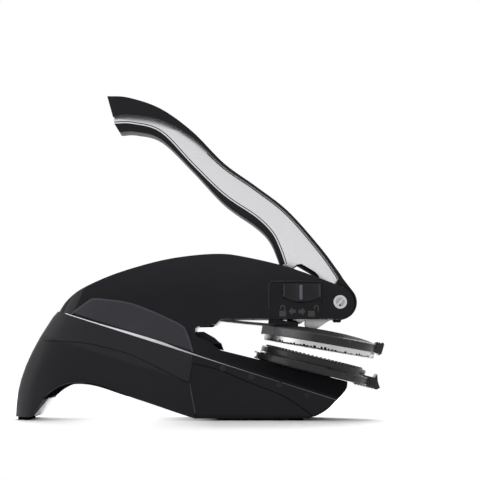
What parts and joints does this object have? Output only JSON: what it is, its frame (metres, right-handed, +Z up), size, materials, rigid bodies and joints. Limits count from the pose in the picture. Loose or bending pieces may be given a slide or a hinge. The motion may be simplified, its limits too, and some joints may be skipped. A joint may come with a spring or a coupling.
{
  "type": "desk seal embosser",
  "caption": "Desk seal embosser: curved lever on a C-frame presses an upper die onto a lower die; slim housing, soft rear grip, sliding lock and removable round die holders.",
  "frame": {"origin": "on the table under the middle of the whole footprint", "axes": "+X towards the nose and dies, +Y to the object's left, +Z up"},
  "size_m": [0.1655, 0.054, 0.1458],
  "materials": {
    "gloss_black": "gloss black injection-moulded ABS, softly reflective",
    "grip_grey": "dark grey soft-touch moulding, fine satin texture",
    "rubber": "black rubber",
    "steel": "bare steel, lightly brushed",
    "chrome": "satin chrome plate, light grey",
    "dark_steel": "black oxide steel",
    "die_silver": "fine-turned silver metal",
    "holder_black": "satin black die holder",
    "trim_grey": "satin grey metallic strip",
    "spring_steel": "bright spring steel",
    "bronze": "sintered bronze bush",
    "cast": "dark cast lever core"
  },
  "bodies": {
    "frame": {"anvil_rail": "steel", "base_block": "steel", "base_bolt": "steel", "base_front": "gloss_black", "base_grip": "grip_grey", "bottom_cover": "holder_black", "frame_plate_left": "steel", "frame_plate_right": "steel", "frame_spacer_front": "steel", "frame_spacer_grip": "steel", "frame_spacer_middle": "steel", "frame_spacer_rear": "steel", "frame_spacer_top": "steel", "front_foot_left": "rubber", "front_foot_right": "rubber", "housing_left": "gloss_black", "housing_right": "gloss_black", "leaf_spring": "spring_steel", "name_pad_left": "grip_grey", "name_pad_right": "grip_grey", "pin_clip_left": "steel", "pin_clip_right": "steel", "pivot_pin": "steel", "rear_foot": "rubber", "rear_heel_plate": "chrome", "return_spring": "spring_steel", "shell_screw_front": "steel", "shell_screw_grip": "steel", "shell_screw_middle": "steel", "shell_screw_rear": "steel", "shell_screw_top": "steel", "spring_block": "steel", "spring_clamp": "dark_steel", "spring_screw_front": "steel", "spring_screw_rear": "steel", "throat_block": "grip_grey", "trim_strip_left": "trim_grey", "trim_strip_right": "trim_grey"},
    "lever": {"lever_core": "cast", "lock_hook": "steel", "hub_bush": "bronze", "handle_plate_right": "chrome", "handle_plate_left": "chrome", "lever_rivet_upper": "steel", "lever_rivet_middle": "steel", "lever_rivet_lower": "steel", "handle_cap": "grip_grey", "handle_strip": "grip_grey", "hub_cover": "grip_grey"},
    "press_arm": {"press_rail": "steel", "press_clamp": "dark_steel", "press_screw_rear": "dark_steel", "press_screw_front": "dark_steel"},
    "upper_cassette": {"upper_die_holder": "holder_black", "upper_die": "die_silver"},
    "lower_cassette": {"lower_die_holder": "holder_black", "lower_die": "die_silver"},
    "lock": {"lock_button": "holder_black", "lock_slide": "steel", "lock_pin": "steel"}
  },
  "joints": [
    {"name": "lever_pivot", "type": "hinge", "parent": "frame", "child": "lever", "pos_m": [0.0625, 0, 0.0524], "axis": [0, -1, 0], "range_deg": [0, 18], "stiffness_Nm_per_rad": 0.5, "springref_deg": -17.19, "deforming": ["return_spring"]},
    {"name": "press_arm_flex", "type": "hinge", "parent": "frame", "child": "press_arm", "pos_m": [0.00862, 0, 0.04458], "axis": [0, 1, 0], "range_deg": [0, 3.95], "deforming": ["leaf_spring"]},
    {"name": "upper_die_slide", "type": "slide", "parent": "press_arm", "child": "upper_cassette", "axis": [0.9851, 0, -0.1719], "range_m": [0, 0.04]},
    {"name": "lower_die_slide", "type": "slide", "parent": "frame", "child": "lower_cassette", "axis": [0.9711, 0, -0.2385], "range_m": [0, 0.04]},
    {"name": "lock_slide", "type": "slide", "parent": "frame", "child": "lock", "axis": [-1, 0, 0], "range_m": [0, 0.0052]}
  ],
  "couplings": [
    {"joint": "press_arm_flex", "follows": "lever_pivot", "ratio": 0.21667}
  ]
}
